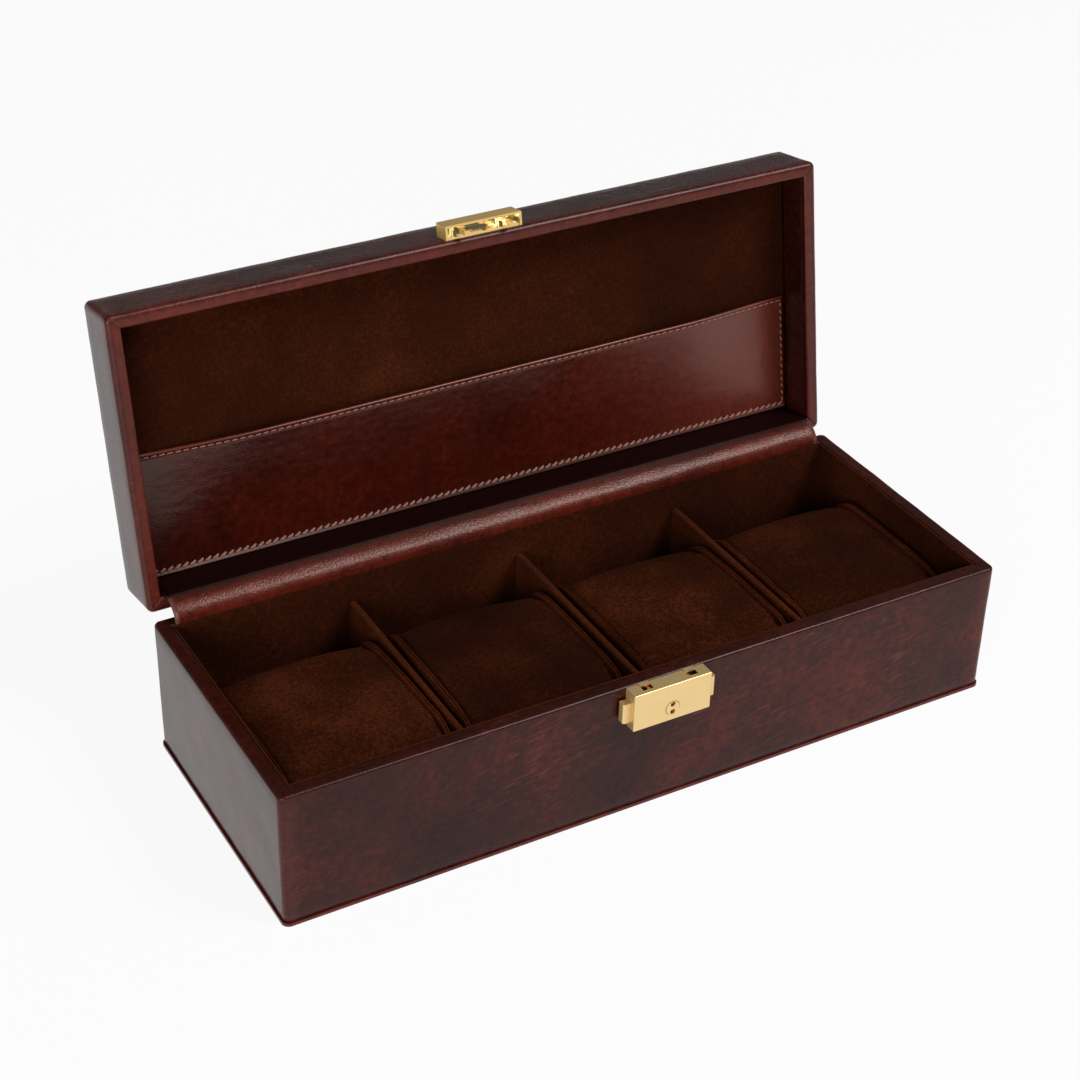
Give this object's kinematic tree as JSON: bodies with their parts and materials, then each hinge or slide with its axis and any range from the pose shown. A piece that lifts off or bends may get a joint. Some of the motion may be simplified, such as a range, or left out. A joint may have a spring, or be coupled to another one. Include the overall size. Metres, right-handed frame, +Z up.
{
  "type": "leather watch box",
  "caption": "Long leather case with a hinged lid, suede compartments with watch cushions, a sewn pocket in the lid and a brass push-button case lock.",
  "frame": {"origin": "middle of the underside of the base", "axes": "+X to the right along the length, +Y to the hinges at the back, +Z up"},
  "size_m": [0.3062, 0.1706, 0.1789],
  "materials": {
    "leather": "polished, mottled",
    "pocket_leather": "soft, creased",
    "bottom_leather": "matte",
    "suede": "napped",
    "foam": "open cell",
    "board": "raw",
    "card": "raw",
    "lock_brass": "satin",
    "strike_brass": "polished",
    "hinge_brass": "satin",
    "spring_steel": "bright"
  },
  "bodies": {
    "base": {"base_leather": "leather", "hinge_strip": "leather", "bottom_cover": "bottom_leather", "floor_lining": "suede", "front_lining": "suede", "back_lining": "suede", "left_lining": "suede", "right_lining": "suede", "left_divider": "suede", "middle_divider": "suede", "right_divider": "suede", "base_floor_board": "board", "base_front_board": "board", "base_back_board": "board", "base_left_board": "board", "base_right_board": "board", "lock_case": "lock_brass", "lock_back_plate": "lock_brass", "left_hinge_base_leaf": "hinge_brass", "right_hinge_base_leaf": "hinge_brass", "left_hinge_pin": "hinge_brass", "right_hinge_pin": "hinge_brass", "base_hinge_screws": "hinge_brass", "lock_screws": "hinge_brass", "left_button_spring": "spring_steel", "right_button_spring": "spring_steel"},
    "lid": {"lid_top_board": "board", "lid_front_board": "board", "lid_back_board": "board", "lid_left_board": "board", "lid_right_board": "board", "lid_leather": "leather", "lid_inner_leather": "leather", "lid_panel_card": "card", "lid_suede_panel": "suede", "lid_pocket": "pocket_leather", "strike_shell": "strike_brass", "strike_hooks": "strike_brass", "strike_screws": "hinge_brass", "left_hinge_lid_leaf": "hinge_brass", "right_hinge_lid_leaf": "hinge_brass", "lid_hinge_screws": "hinge_brass"},
    "left_button": {"left_button": "lock_brass"},
    "right_button": {"right_button": "lock_brass"},
    "key_plug": {"key_plug": "lock_brass", "lock_cam": "lock_brass"},
    "left_cushion": {"left_cushion_foam": "foam", "left_cushion_band": "suede", "left_cushion_end_panels": "suede"},
    "middle_left_cushion": {"middle_left_cushion_foam": "foam", "middle_left_cushion_band": "suede", "middle_left_cushion_end_panels": "suede"},
    "middle_right_cushion": {"middle_right_cushion_foam": "foam", "middle_right_cushion_band": "suede", "middle_right_cushion_end_panels": "suede"},
    "right_cushion": {"right_cushion_foam": "foam", "right_cushion_band": "suede", "right_cushion_end_panels": "suede"}
  },
  "joints": [
    {"name": "lid_hinge", "type": "hinge", "parent": "base", "child": "lid", "pos_m": [0, 0.06035, 0.05675], "axis": [-1, 0, 0], "range_deg": [-100, 0], "deforming": ["hinge_strip"]},
    {"name": "left_button_press", "type": "slide", "parent": "base", "child": "left_button", "axis": [1, 0, 0], "range_m": [0, 0.0016], "stiffness_N_per_m": 400, "springref_m": -0.002, "deforming": ["left_button_spring"]},
    {"name": "right_button_press", "type": "slide", "parent": "base", "child": "right_button", "axis": [-1, 0, 0], "range_m": [0, 0.0016], "stiffness_N_per_m": 400, "springref_m": -0.002, "deforming": ["right_button_spring"]},
    {"name": "key_turn", "type": "hinge", "parent": "base", "child": "key_plug", "pos_m": [0, -0.0635, 0.0466], "axis": [0, 1, 0], "range_deg": [-90, 0]},
    {"name": "left_cushion_lift", "type": "slide", "parent": "base", "child": "left_cushion", "axis": [0, 0, 1], "range_m": [0, 0.09]},
    {"name": "middle_left_cushion_lift", "type": "slide", "parent": "base", "child": "middle_left_cushion", "axis": [0, 0, 1], "range_m": [0, 0.09]},
    {"name": "middle_right_cushion_lift", "type": "slide", "parent": "base", "child": "middle_right_cushion", "axis": [0, 0, 1], "range_m": [0, 0.09]},
    {"name": "right_cushion_lift", "type": "slide", "parent": "base", "child": "right_cushion", "axis": [0, 0, 1], "range_m": [0, 0.09]}
  ]
}
